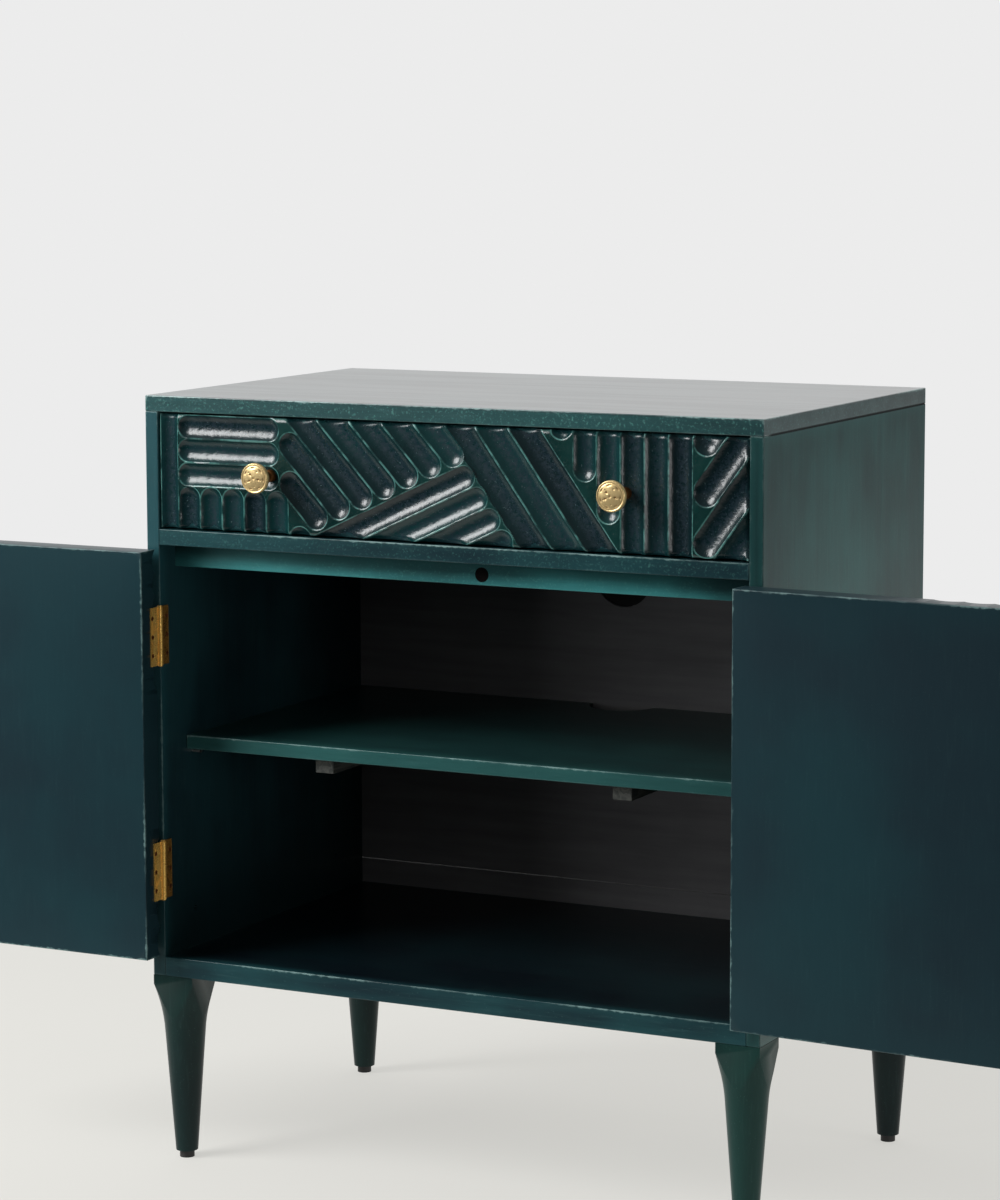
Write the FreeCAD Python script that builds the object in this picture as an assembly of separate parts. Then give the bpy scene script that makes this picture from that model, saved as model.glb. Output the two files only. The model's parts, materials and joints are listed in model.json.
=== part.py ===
import FreeCAD, Part
import math
import os

# Storage cabinet on four turned legs: one carved drawer above two carved doors and a shelf.
# Millimetres. +X is to the right seen from the front, +Y to the back, +Z up.
# Boards are laid out with the front plane at y = 0 and the floor at z = 0. At the end the whole
# cabinet moves so that the origin is the bottom centre of its box with the doors open.
Vector = FreeCAD.Vector
RIGHT = Vector(1, 0, 0)
BACK = Vector(0, 1, 0)
UP = Vector(0, 0, 1)

# Overall sizes
cabinet_width = 710.0
cabinet_depth = 446.0
cabinet_height = 832.0
body_underside = 205.0

# Board thicknesses
top_thickness = 17.0
side_thickness = 15.0
bottom_thickness = 21.0
divider_thickness = 17.0
shelf_thickness = 15.0
back_thickness = 9.0

# Back: lap behind the sides and the top, lower board, seam, cable port and its plug
back_lap = 7.0
back_board_height = 49.0
back_seam = 1.2
port_radius = 35.0
port_height = 608.0
plug_thickness = 6.0
plug_clearance = 0.2

# Front openings and the running gaps of what closes them
drawer_opening_height = 125.0
drawer_gap = 2.0
door_gap_above = 4.0
door_gap_below = 3.0
meeting_gap = 3.0
front_thickness = 30.0

# Door stop strip and the magnet catch
stop_height = 26.0
stop_depth = 18.0
stop_gap = 1.0
magnet_radius = 7.75
magnet_depth = 12.0
magnet_offset = 29.5
magnet_drop = 15.0
strike_radius = 7.0
strike_thickness = 1.5

# Shelf, its cable notch, pins and battens
shelf_top = 461.0
shelf_setback = 48.5
shelf_side_gap = 0.5
shelf_back_gap = 1.0
notch_radius = 38.0
shelf_pin_radius = 3.0
shelf_pin_in_side = 9.0
shelf_pin_reach = 10.0
shelf_pin_inset = 63.0
spare_hole_height = 268.0
batten_width = 22.0
batten_thickness = 16.0
batten_offset = 175.0
batten_setback = 12.0

# Legs: square block at the top, then a turned flare and a straight taper
leg_width = 48.5
leg_flare_depth = 58.0
leg_flare_radius = 22.4
leg_flare_mid_depth = 24.0
leg_flare_mid_radius = 29.3
leg_top_radius = 39.0
leg_foot_radius = 12.0
glide_radius = 8.0
glide_height = 8.0
glide_nail_radius = 1.6
glide_nail_length = 14.0
bolt_radius = 4.0
bolt_in_leg = 28.0
bolt_in_body = 17.0

# Dowels and screws
dowel_radius = 4.0
dowel_in_face = 10.0
dowel_in_edge = 20.0
dowel_place_shares = (0.12, 0.5, 0.88)
board_screw_head_radius = 3.5
board_screw_radius = 1.75
board_screw_length = 22.0
hinge_screw_head_radius = 2.6
hinge_screw_radius = 1.3
hinge_screw_length = 11.0
fastener_clearance = 0.05
side_screw_place_shares = (0.1, 0.35, 0.65, 0.9)
cross_screw_place_shares = (0.2, 0.5, 0.8)
strip_screw_place_shares = (0.12, 0.5, 0.88)

# Butt hinges: two leaves, five knuckles and a pin just ahead of the front plane
hinge_gap = 3.2
hinge_pin_lead = 3.2
hinge_length = 63.0
hinge_leaf_width = 14.0
hinge_leaf_thickness = 1.5
hinge_barrel_radius = 3.0
hinge_pin_radius = 1.5
hinge_pin_head_radius = 2.4
hinge_pin_head_height = 1.2
hinge_run_clearance = 0.05
hinge_fixed_clearance = 0.02
hinge_knuckle_gap = 0.3
hinge_knuckles = 5
hinge_end_inset = 93.0
hinge_screw_setback = 11.0
hinge_screw_place_shares = (-0.32, 0.0, 0.32)
left_door_open_angle = 180.0
right_door_open_angle = 176.0

# Drawer box and its runners
drawer_side_gap = 3.0
drawer_side_thickness = 15.0
drawer_side_height = 96.0
drawer_side_lift = 6.0
drawer_back_gap = 32.0
drawer_back_thickness = 12.0
drawer_back_drop = 8.0
drawer_bottom_thickness = 6.0
drawer_bottom_lift = 8.0
drawer_bottom_lap = 5.0
drawer_groove_clearance = 0.1
runner_height = 14.0
runner_groove_depth = 9.0
runner_gap = 0.3
drawer_dowel_height_shares = (0.28, 0.83)

# Knobs: a stem on the board and a domed disc, held by a screw from behind
knob_radius = 16.0
knob_stem_radius = 6.5
knob_neck_radius = 5.0
knob_stem_length = 6.0
knob_neck_length = 25.0
knob_disc_thickness = 5.0
knob_dome_height = 3.0
knob_seat_clearance = 0.4
drawer_knob_offset = 204.0
door_knob_inset = 34.0
knob_screw_radius = 2.0
knob_screw_hole_radius = 2.3
knob_screw_reach = 10.0
knob_screw_head_radius = 4.5
knob_screw_head_height = 2.5

# Carving: hollow flutes in patches, each running its own way, with narrow lands between them
flute_depth = 6.0
flute_pitch = 27.0
flute_land = 1.6
flute_parallel_share = 0.3

# Each patch: corners as shares of the panel's width and height, and the run of its flutes in degrees
drawer_patch_shares = (
    (((0.0, 0.0), (0.034, 0.0), (0.034, 1.0), (0.0, 1.0)), 90.0),
    (((0.034, 0.375), (0.216, 0.375), (0.216, 1.0), (0.034, 1.0)), 0.0),
    (((0.034, 0.0), (0.272, 0.0), (0.225, 0.375), (0.034, 0.375)), 90.0),
    (((0.216, 0.5), (0.276, 0.03), (0.543, 0.70), (0.506, 1.0), (0.216, 1.0)), -47.0),
    (((0.276, 0.0), (0.629, 0.0), (0.543, 0.70)), 25.0),
    (((0.629, 0.0), (0.794, 0.0), (0.666, 1.0), (0.506, 1.0)), -54.0),
    (((0.794, 0.0), (0.913, 0.0), (0.913, 1.0), (0.680, 1.0)), 90.0),
    (((0.913, 0.0), (1.0, 0.0), (1.0, 1.0), (0.913, 1.0)), 54.0),
)
door_patch_shares = (
    (((0.0, 0.66), (0.45, 0.723), (0.6, 1.0), (0.0, 1.0)), 0.0),
    (((0.45, 0.723), (1.0, 0.8), (1.0, 1.0), (0.6, 1.0)), 58.0),
    (((0.0, 0.3), (0.3, 0.336), (0.38, 0.713), (0.0, 0.66)), 90.0),
    (((0.3, 0.336), (0.72, 0.386), (0.66, 0.752), (0.38, 0.713)), -46.0),
    (((0.72, 0.386), (1.0, 0.42), (1.0, 0.8), (0.66, 0.752)), 24.0),
    (((0.0, 0.0), (0.48, 0.0), (0.55, 0.366), (0.0, 0.3)), -35.0),
    (((0.48, 0.0), (1.0, 0.0), (1.0, 0.42), (0.55, 0.366)), 90.0),
)

# How far every cut runs past the face it leaves
overrun = 1.0

# Places that follow from the sizes above
half_width = cabinet_width / 2
inner_half = half_width - side_thickness
bottom_top = body_underside + bottom_thickness
top_under = cabinet_height - top_thickness
divider_top = top_under - drawer_opening_height
divider_under = divider_top - divider_thickness
back_face = cabinet_depth - back_thickness
door_bottom = bottom_top + door_gap_below
door_top = divider_under - door_gap_above
door_height = door_top - door_bottom
door_width = inner_half - hinge_gap - meeting_gap / 2
drawer_front_width = 2 * (inner_half - drawer_gap)
drawer_front_height = drawer_opening_height - 2 * drawer_gap
drawer_middle = divider_top + drawer_opening_height / 2
stop_front = front_thickness + stop_gap
shelf_under = shelf_top - shelf_thickness
pin_x = -inner_half + hinge_gap / 2
pin_y = -hinge_pin_lead
magnet_height = divider_under - magnet_drop
door_knob_x = -meeting_gap / 2 - door_knob_inset
door_middle = (door_bottom + door_top) / 2
drawer_side_low = divider_top + drawer_side_lift
drawer_side_outer = inner_half - drawer_side_gap
drawer_side_inner = drawer_side_outer - drawer_side_thickness
drawer_side_back = back_face - drawer_back_gap
drawer_side_length = drawer_side_back - front_thickness
drawer_bottom_low = drawer_side_low + drawer_bottom_lift
drawer_bottom_high = drawer_bottom_low + drawer_bottom_thickness
batten_front = shelf_setback + batten_setback
shelf_back = back_face - shelf_back_gap
batten_back = shelf_back - batten_setback
shelf_pin_height = shelf_under - shelf_pin_radius
runner_depth = drawer_side_gap + runner_groove_depth - runner_gap
runner_length = drawer_side_length - runner_gap
runner_start = front_thickness + runner_gap


def box(x0, x1, y0, y1, z0, z1):
    return Part.makeBox(x1 - x0, y1 - y0, z1 - z0, Vector(x0, y0, z0))


def cylinder(radius, start, direction, length):
    return Part.makeCylinder(radius, length, start, direction)


def mirrored(shape):
    # The same piece on the other side of the cabinet's middle plane.
    return shape.mirror(Vector(0, 0, 0), RIGHT)


def lathe(outline, start, direction):
    # Turns a half outline of (radius, height) points about an axis; a three-point entry is an arc.
    edges = []
    here = outline[0]
    for step in outline[1:]:
        if len(step) == 2:
            there = step
            if there != here:
                edges.append(Part.makeLine(Vector(here[0], 0, here[1]), Vector(there[0], 0, there[1])))
        else:
            there = step[2:]
            middle = Vector(step[0], 0, step[1])
            arc = Part.Arc(Vector(here[0], 0, here[1]), middle, Vector(there[0], 0, there[1]))
            edges.append(arc.toShape())
        here = there
    face = Part.Face(Part.Wire(edges))
    solid = face.revolve(Vector(0, 0, 0), UP, 360)
    solid.Placement = FreeCAD.Placement(start, FreeCAD.Rotation(UP, direction))
    return solid


def screw(start, direction, head_radius, radius, length, grow):
    # Countersunk wood screw with its head flush at start; grow widens it into the hole it sits in.
    cone = head_radius - radius
    wide = head_radius + grow
    thin = radius + grow
    outline = [(0, 0), (wide, 0), (thin, cone), (thin, length + grow), (0, length + grow), (0, 0)]
    return lathe(outline, start, direction)


def board_screw(start, direction, grow=0):
    return screw(start, direction, board_screw_head_radius, board_screw_radius, board_screw_length, grow)


def hinge_screw(start, direction, grow=0):
    return screw(start, direction, hinge_screw_head_radius, hinge_screw_radius, hinge_screw_length, grow)


def places(low, high, shares):
    return [low + share * (high - low) for share in shares]


# Joinery shared by the boards it holds


def dowel_starts():
    # Start and direction of each dowel, from inside the face of a side or the top.
    rows = []
    for hand in (-1, 1):
        for y in places(0, back_face, dowel_place_shares):
            edge_x = hand * (inner_half + side_thickness / 2)
            rows.append((Vector(edge_x, y, top_under + dowel_in_face), UP * -1))
            for z in (bottom_top - bottom_thickness / 2, divider_top - divider_thickness / 2):
                rows.append((Vector(hand * (inner_half + dowel_in_face), y, z), RIGHT * -hand))
    return rows


def dowels(grow=0):
    length = dowel_in_face + dowel_in_edge
    solids = []
    for start, direction in dowel_starts():
        solids.append(cylinder(dowel_radius + grow, start - direction * grow, direction, length + 2 * grow))
    return solids


def back_screws(grow=0):
    solids = []
    for hand in (-1, 1):
        x = hand * (inner_half + back_lap / 2)
        for z in places(body_underside, top_under, side_screw_place_shares):
            solids.append(board_screw(Vector(x, cabinet_depth, z), BACK * -1, grow))
    for x in places(-inner_half, inner_half, cross_screw_place_shares):
        for z in (bottom_top - bottom_thickness / 2, divider_top - divider_thickness / 2):
            solids.append(board_screw(Vector(x, cabinet_depth, z), BACK * -1, grow))
    return solids


def shelf_pin_places(z):
    rows = []
    for hand in (-1, 1):
        for y in (shelf_pin_inset, back_face - shelf_pin_inset):
            rows.append((hand, Vector(hand * (inner_half + shelf_pin_in_side), y, z)))
    return rows


def shelf_pins(z, grow=0):
    length = shelf_pin_in_side + shelf_pin_reach
    return [cylinder(shelf_pin_radius + grow, start + RIGHT * hand * grow, RIGHT * -hand, length + grow)
            for hand, start in shelf_pin_places(z)]


def runner_screws(hand, grow=0):
    x = hand * (inner_half - runner_depth)
    solids = []
    for y in places(runner_start, runner_start + runner_length, strip_screw_place_shares):
        solids.append(board_screw(Vector(x, y, drawer_middle), RIGHT * hand, grow))
    return solids


def leg_places():
    x = half_width - leg_width / 2
    y_front = leg_width / 2
    y_back = cabinet_depth - leg_width / 2
    return {
        "front_left": Vector(-x, y_front, 0),
        "front_right": Vector(x, y_front, 0),
        "back_left": Vector(-x, y_back, 0),
        "back_right": Vector(x, y_back, 0),
    }


def hanger_bolts(grow=0):
    length = bolt_in_leg + bolt_in_body + 2 * grow
    low = UP * (body_underside - bolt_in_leg - grow)
    return [cylinder(bolt_radius + grow, foot + low, UP, length) for foot in leg_places().values()]


def glides(grow=0):
    nail = glide_nail_radius + grow
    top = glide_height + glide_nail_length + grow
    outline = [(0, 0), (glide_radius, 0), (glide_radius, glide_height), (nail, glide_height)]
    outline += [(nail, top), (0, top), (0, 0)]
    return [lathe(outline, foot, UP) for foot in leg_places().values()]


# Hinges, modelled on the left side with the door closed


def hinge_heights():
    return {"upper": door_top - hinge_end_inset, "lower": door_bottom + hinge_end_inset}


def knuckle(number, middle, radius, trim):
    # One knuckle of the barrel, counted from the bottom.
    step = hinge_length / hinge_knuckles
    low = middle - hinge_length / 2 + number * step + trim
    return cylinder(radius, Vector(pin_x, pin_y, low), UP, step - 2 * trim)


def hinge_leaf(middle, moving):
    # A plate with its own knuckles, cleared around the other leaf's knuckles and bored for the pin.
    low = middle - hinge_length / 2
    high = middle + hinge_length / 2
    if moving:
        edge = -inner_half + hinge_gap
        plate = box(edge - hinge_leaf_thickness, edge, pin_y, hinge_leaf_width, low, high)
    else:
        edge = -inner_half
        plate = box(edge, edge + hinge_leaf_thickness, pin_y, hinge_leaf_width, low, high)
    bore = hinge_pin_radius + (hinge_run_clearance if moving else hinge_fixed_clearance)
    leaf = plate
    for number in range(hinge_knuckles):
        if (number % 2 == 0) == moving:
            leaf = leaf.fuse(knuckle(number, middle, hinge_barrel_radius, hinge_knuckle_gap / 2))
        else:
            leaf = leaf.cut(knuckle(number, middle, hinge_barrel_radius + hinge_knuckle_gap, 0))
    start = Vector(pin_x, pin_y, low - overrun)
    leaf = leaf.cut(cylinder(bore, start, UP, hinge_length + 2 * overrun))
    for hole in hinge_leaf_screws(middle, moving, fastener_clearance):
        leaf = leaf.cut(hole)
    return leaf


def hinge_leaf_screws(middle, moving, grow=0):
    y = hinge_screw_setback
    if moving:
        x = -inner_half + hinge_gap - hinge_leaf_thickness
        direction = RIGHT
    else:
        x = -inner_half + hinge_leaf_thickness
        direction = RIGHT * -1
    solids = []
    for share in hinge_screw_place_shares:
        solids.append(hinge_screw(Vector(x, y, middle + share * hinge_length), direction, grow))
    return solids


def hinge_pin(middle):
    half = hinge_length / 2
    top = half + hinge_pin_head_height
    outline = [(0, -top), (hinge_pin_head_radius, -top), (hinge_pin_head_radius, -half),
               (hinge_pin_radius, -half), (hinge_pin_radius, half), (hinge_pin_head_radius, half),
               (hinge_pin_head_radius, top), (0, top), (0, -top)]
    return lathe(outline, Vector(pin_x, pin_y, middle), UP)


def all_hinge_screws(moving, grow=0):
    solids = []
    for middle in hinge_heights().values():
        solids += hinge_leaf_screws(middle, moving, grow)
    return solids


# Carved panels


def clip_flute(corners, width, height, angle, offset, half):
    # The stretch of a flute's centre line inside a patch. It stays half a flute clear of the patch's
    # own borders, runs off the panel's edges and ignores borders that lie along the flute.
    along = (math.cos(math.radians(angle)), math.sin(math.radians(angle)))
    across = (-along[1], along[0])
    base = (across[0] * offset, across[1] * offset)
    low = -(width + height)
    high = width + height
    for here, there in zip(corners, corners[1:] + corners[:1]):
        run = (there[0] - here[0], there[1] - here[1])
        length = math.hypot(run[0], run[1])
        inward = (-run[1] / length, run[0] / length)
        slope = inward[0] * along[0] + inward[1] * along[1]
        if abs(slope) < flute_parallel_share:
            continue
        on_edge = here[0] == there[0] in (0, width) or here[1] == there[1] in (0, height)
        inset = -half if on_edge else half
        room = (here[0] - base[0]) * inward[0] + (here[1] - base[1]) * inward[1] + inset
        if slope > 0:
            low = max(low, room / slope)
        else:
            high = min(high, room / slope)
    start = (base[0] + low * along[0], base[1] + low * along[1])
    return start, high - low, along


def flute(start, length, along, half):
    # What a round gouge takes out: a round bar with round ends, sunk into the front by the flute's depth.
    depth = min(flute_depth, half)
    radius = (half * half + depth * depth) / (2 * depth)
    bulge = radius * math.sqrt(0.5)
    outline = [(0, -radius), (bulge, -bulge, radius, 0), (radius, length)]
    outline += [(bulge, length + bulge, 0, length + radius), (0, -radius)]
    centre = Vector(start[0], depth - radius, start[1])
    return lathe(outline, centre, Vector(along[0], 0, along[1]))


def patch_flutes(corners, angle, width, height):
    # Flutes side by side across one patch, at the pitch that fills it evenly.
    turn = math.radians(angle)
    offsets = [v * math.cos(turn) - u * math.sin(turn) for u, v in corners]
    span = max(offsets) - min(offsets)
    count = max(1, round(span / flute_pitch))
    pitch = span / count
    half = (pitch - flute_land) / 2
    solids = []
    for number in range(count):
        offset = min(offsets) + (number + 0.5) * pitch
        start, length, along = clip_flute(corners, width, height, angle, offset, half)
        if length > 0:
            solids.append(flute(start, length, along, half))
    return solids


def carved_panel(width, height, patches):
    # A board with flutes gouged into its front; lower left corner at the origin.
    panel = box(0, width, 0, front_thickness, 0, height)
    for corner_shares, angle in patches:
        corners = [(u * width, v * height) for u, v in corner_shares]
        panel = panel.cut(patch_flutes(corners, angle, width, height))
    return panel


# Knobs


def knob(x, z):
    # Turned brass knob let in as deep as the flutes, bored from behind for its screw.
    disc_low = knob_stem_length + knob_neck_length
    disc_high = disc_low + knob_disc_thickness
    top = disc_high + knob_dome_height
    dome_radius = (knob_radius ** 2 + knob_dome_height ** 2) / (2 * knob_dome_height)
    mid_radius = knob_radius / 2
    mid_height = top - dome_radius + math.sqrt(dome_radius ** 2 - mid_radius ** 2)
    bore = knob_screw_radius + fastener_clearance
    depth = knob_screw_reach + fastener_clearance
    outline = [(bore, 0), (knob_stem_radius, 0), (knob_stem_radius, knob_stem_length),
               (knob_neck_radius, knob_stem_length), (knob_neck_radius, disc_low), (knob_radius, disc_low),
               (knob_radius, disc_high), (mid_radius, mid_height, 0, top)]
    outline += [(0, depth), (bore, depth), (bore, 0)]
    return lathe(outline, Vector(x, flute_depth, z), BACK * -1)


def knob_screw(x, z):
    shank = front_thickness - flute_depth + knob_screw_reach
    outline = [(0, -knob_screw_head_height), (knob_screw_head_radius, -knob_screw_head_height),
               (knob_screw_head_radius, 0), (knob_screw_radius, 0), (knob_screw_radius, shank),
               (0, shank), (0, -knob_screw_head_height)]
    return lathe(outline, Vector(x, front_thickness, z), BACK * -1)


def with_knob_holes(panel, x, z):
    # A round seat as deep as the flutes and the hole of the screw.
    start = Vector(x, -overrun, z)
    seat = cylinder(knob_stem_radius + knob_seat_clearance, start, BACK, flute_depth + overrun)
    hole = cylinder(knob_screw_hole_radius, start, BACK, front_thickness + 2 * overrun)
    return panel.cut(seat).cut(hole)


# Carcass


def without(board, cutters):
    return board.cut(cutters) if cutters else board


def top_panel():
    board = box(-half_width, half_width, 0, cabinet_depth, top_under, cabinet_height)
    lap = inner_half + back_lap
    rebate = box(-lap, lap, back_face, cabinet_depth + overrun, top_under - overrun, top_under + back_lap)
    return without(board, [rebate] + dowels(fastener_clearance))


def side_panel(hand):
    outer, inner = hand * half_width, hand * inner_half
    board = box(min(outer, inner), max(outer, inner), 0, cabinet_depth, body_underside, top_under)
    lap = hand * (inner_half + back_lap)
    start = hand * (inner_half - overrun)
    rebate = box(min(lap, start), max(lap, start), back_face, cabinet_depth + overrun,
                 body_underside - overrun, top_under + overrun)
    hinge_holes = all_hinge_screws(False, fastener_clearance)
    if hand > 0:
        hinge_holes = [mirrored(hole) for hole in hinge_holes]
    holes = dowels(fastener_clearance) + back_screws(fastener_clearance) + hinge_holes
    holes += shelf_pins(shelf_pin_height, fastener_clearance)
    holes += shelf_pins(spare_hole_height, fastener_clearance)
    holes += runner_screws(hand, fastener_clearance)
    return without(board, [rebate] + holes)


def bottom_panel():
    board = box(-inner_half, inner_half, 0, back_face, body_underside, bottom_top)
    holes = dowels(fastener_clearance) + back_screws(fastener_clearance) + hanger_bolts(fastener_clearance)
    return without(board, holes)


def drawer_divider():
    board = box(-inner_half, inner_half, 0, back_face, divider_under, divider_top)
    return without(board, dowels(fastener_clearance) + back_screws(fastener_clearance))


def back_panel():
    lap = inner_half + back_lap
    low = body_underside + back_board_height + back_seam
    board = box(-lap, lap, back_face, cabinet_depth, low, top_under + back_lap)
    start = Vector(0, back_face - overrun, port_height)
    port = cylinder(port_radius, start, BACK, back_thickness + 2 * overrun)
    return without(board, [port] + back_screws(fastener_clearance))


def back_lower_board():
    lap = inner_half + back_lap
    board = box(-lap, lap, back_face, cabinet_depth, body_underside, body_underside + back_board_height)
    return without(board, back_screws(fastener_clearance))


def cable_port_plug():
    start = Vector(0, cabinet_depth - plug_thickness, port_height)
    return cylinder(port_radius - plug_clearance, start, BACK, plug_thickness)


def magnet(grow=0):
    start = Vector(magnet_offset, stop_front, magnet_height)
    return cylinder(magnet_radius + grow, start, BACK, magnet_depth + grow)


def door_stop_strip():
    low = divider_under - stop_height
    strip = box(-inner_half, inner_half, stop_front, stop_front + stop_depth, low, divider_under)
    return strip.cut(magnet(fastener_clearance))


def batten_screws(grow=0):
    solids = []
    for x in (-batten_offset, batten_offset):
        for y in places(batten_front, batten_back, strip_screw_place_shares):
            solids.append(board_screw(Vector(x, y, shelf_under - batten_thickness), UP, grow))
    return solids


def shelf():
    side = inner_half - shelf_side_gap
    board = box(-side, side, shelf_setback, shelf_back, shelf_under, shelf_top)
    start = Vector(0, shelf_back, shelf_under - overrun)
    notch = cylinder(notch_radius, start, UP, shelf_thickness + 2 * overrun)
    return without(board, [notch] + batten_screws(fastener_clearance))


def shelf_batten(x):
    strip = box(x - batten_width / 2, x + batten_width / 2, batten_front, batten_back,
                shelf_under - batten_thickness, shelf_under)
    return without(strip, batten_screws(fastener_clearance))


def drawer_runner(hand):
    wall = hand * inner_half
    face = hand * (inner_half - runner_depth)
    strip = box(min(wall, face), max(wall, face), runner_start, runner_start + runner_length,
                drawer_middle - runner_height / 2, drawer_middle + runner_height / 2)
    return without(strip, runner_screws(hand, fastener_clearance))


def leg(foot):
    # The turned outline meets a square block, which leaves a rounded shield on each flat side.
    top = body_underside
    outline = [(0, glide_height), (leg_foot_radius, glide_height), (leg_flare_radius, top - leg_flare_depth)]
    outline += [(leg_flare_mid_radius, top - leg_flare_mid_depth, leg_top_radius, top)]
    outline += [(0, top), (0, glide_height)]
    block = box(-leg_width / 2, leg_width / 2, -leg_width / 2, leg_width / 2, 0, top)
    block.translate(foot)
    turned = lathe(outline, foot, UP).common(block)
    return without(turned, hanger_bolts(fastener_clearance) + glides(fastener_clearance))


# Drawer


def drawer_bottom(grow=0):
    half = drawer_side_inner + drawer_bottom_lap + grow
    return box(-half, half, front_thickness - drawer_bottom_lap - grow, drawer_side_back + grow,
               drawer_bottom_low - grow, drawer_bottom_high + grow)


def drawer_dowels(grow=0):
    x = drawer_side_outer - drawer_side_thickness / 2
    length = dowel_in_face + dowel_in_edge + 2 * grow
    solids = []
    for side_x in (-x, x):
        for z in places(drawer_side_low, drawer_side_low + drawer_side_height, drawer_dowel_height_shares):
            start = Vector(side_x, front_thickness - dowel_in_face - grow, z)
            solids.append(cylinder(dowel_radius + grow, start, BACK, length))
    return solids


def drawer_front():
    panel = carved_panel(drawer_front_width, drawer_front_height, drawer_patch_shares)
    panel.translate(Vector(-drawer_front_width / 2, 0, divider_top + drawer_gap))
    for x in (-drawer_knob_offset, drawer_knob_offset):
        panel = with_knob_holes(panel, x, drawer_middle)
    return without(panel, [drawer_bottom(drawer_groove_clearance)] + drawer_dowels(fastener_clearance))


def drawer_side(hand):
    outer, inner = hand * drawer_side_outer, hand * drawer_side_inner
    board = box(min(outer, inner), max(outer, inner), front_thickness, drawer_side_back,
                drawer_side_low, drawer_side_low + drawer_side_height)
    floor = hand * (drawer_side_outer - runner_groove_depth)
    past = hand * (drawer_side_outer + overrun)
    half = runner_height / 2 + runner_gap
    groove = box(min(floor, past), max(floor, past), front_thickness - overrun, drawer_side_back + overrun,
                 drawer_middle - half, drawer_middle + half)
    cutters = [groove, drawer_bottom(drawer_groove_clearance)]
    return without(board, cutters + drawer_dowels(fastener_clearance))


def drawer_back():
    high = drawer_side_low + drawer_side_height - drawer_back_drop
    return box(-drawer_side_inner, drawer_side_inner, drawer_side_back - drawer_back_thickness,
               drawer_side_back, drawer_bottom_high + drawer_groove_clearance, high)


# Doors, modelled closed on the left side and then swung open


def strike_plate(grow=0):
    start = Vector(magnet_offset, front_thickness - strike_thickness - grow, magnet_height)
    disc = cylinder(strike_radius + grow, start, BACK, strike_thickness + grow)
    return disc if grow else disc.cut(strike_screw(fastener_clearance))


def strike_screw(grow=0):
    return hinge_screw(Vector(magnet_offset, front_thickness, magnet_height), BACK * -1, grow)


def left_door_panel():
    panel = carved_panel(door_width, door_height, door_patch_shares)
    panel.translate(Vector(-inner_half + hinge_gap, 0, door_bottom))
    panel = with_knob_holes(panel, door_knob_x, door_middle)
    return without(panel, all_hinge_screws(True, fastener_clearance))


def left_door():
    pieces = {"door_panel": left_door_panel()}
    for level, middle in hinge_heights().items():
        pieces[level + "_hinge_moving_leaf"] = hinge_leaf(middle, True)
    pieces["door_hinge_screws"] = Part.makeCompound(all_hinge_screws(True))
    pieces["door_knob"] = knob(door_knob_x, door_middle)
    pieces["door_knob_screw"] = knob_screw(door_knob_x, door_middle)
    return pieces


def swung(shape, hand, angle):
    # Opens a closed door's piece about its hinge pins; the free edge comes out to the front.
    shape = shape.copy()
    shape.rotate(Vector(-hand * pin_x, pin_y, 0), UP, hand * angle)
    return shape


# All pieces, by name


def carcass():
    pieces = {
        "top_panel": top_panel(),
        "left_side_panel": side_panel(-1),
        "right_side_panel": side_panel(1),
        "bottom_panel": bottom_panel(),
        "back_panel": back_panel(),
        "back_lower_board": back_lower_board(),
        "back_screws": Part.makeCompound(back_screws()),
        "cable_port_plug": cable_port_plug(),
        "drawer_divider": drawer_divider(),
        "door_stop_strip": door_stop_strip(),
        "catch_magnet": magnet(),
        "carcass_dowels": Part.makeCompound(dowels()),
        "shelf": shelf(),
        "shelf_pins": Part.makeCompound(shelf_pins(shelf_pin_height)),
        "left_shelf_batten": shelf_batten(-batten_offset),
        "right_shelf_batten": shelf_batten(batten_offset),
        "batten_screws": Part.makeCompound(batten_screws()),
        "left_drawer_runner": drawer_runner(-1),
        "right_drawer_runner": drawer_runner(1),
        "runner_screws": Part.makeCompound(runner_screws(-1) + runner_screws(1)),
        "leg_hanger_bolts": Part.makeCompound(hanger_bolts()),
        "foot_glides": Part.makeCompound(glides()),
    }
    for name, foot in leg_places().items():
        pieces[name + "_leg"] = leg(foot)
    pins = []
    for level, middle in hinge_heights().items():
        leaf = hinge_leaf(middle, False)
        pieces["left_" + level + "_hinge_fixed_leaf"] = leaf
        pieces["right_" + level + "_hinge_fixed_leaf"] = mirrored(leaf)
        pins += [hinge_pin(middle), mirrored(hinge_pin(middle))]
    pieces["hinge_pins"] = Part.makeCompound(pins)
    screws = all_hinge_screws(False)
    pieces["carcass_hinge_screws"] = Part.makeCompound(screws + [mirrored(solid) for solid in screws])
    return pieces


def drawer():
    screws = [knob_screw(x, drawer_middle) for x in (-drawer_knob_offset, drawer_knob_offset)]
    return {
        "drawer_front": drawer_front(),
        "drawer_left_side": drawer_side(-1),
        "drawer_right_side": drawer_side(1),
        "drawer_back": drawer_back(),
        "drawer_bottom": drawer_bottom(),
        "drawer_dowels": Part.makeCompound(drawer_dowels()),
        "left_drawer_knob": knob(-drawer_knob_offset, drawer_middle),
        "right_drawer_knob": knob(drawer_knob_offset, drawer_middle),
        "drawer_knob_screws": Part.makeCompound(screws),
    }


def doors():
    pieces = {}
    for name, shape in left_door().items():
        right = mirrored(shape)
        if name == "door_panel":
            right = right.cut(strike_plate(fastener_clearance)).cut(strike_screw(fastener_clearance))
        pieces["left_" + name] = swung(shape, -1, left_door_open_angle)
        pieces["right_" + name] = swung(right, 1, right_door_open_angle)
    pieces["catch_strike_plate"] = swung(strike_plate(), 1, right_door_open_angle)
    pieces["catch_strike_screw"] = swung(strike_screw(), 1, right_door_open_angle)
    return pieces


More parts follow.
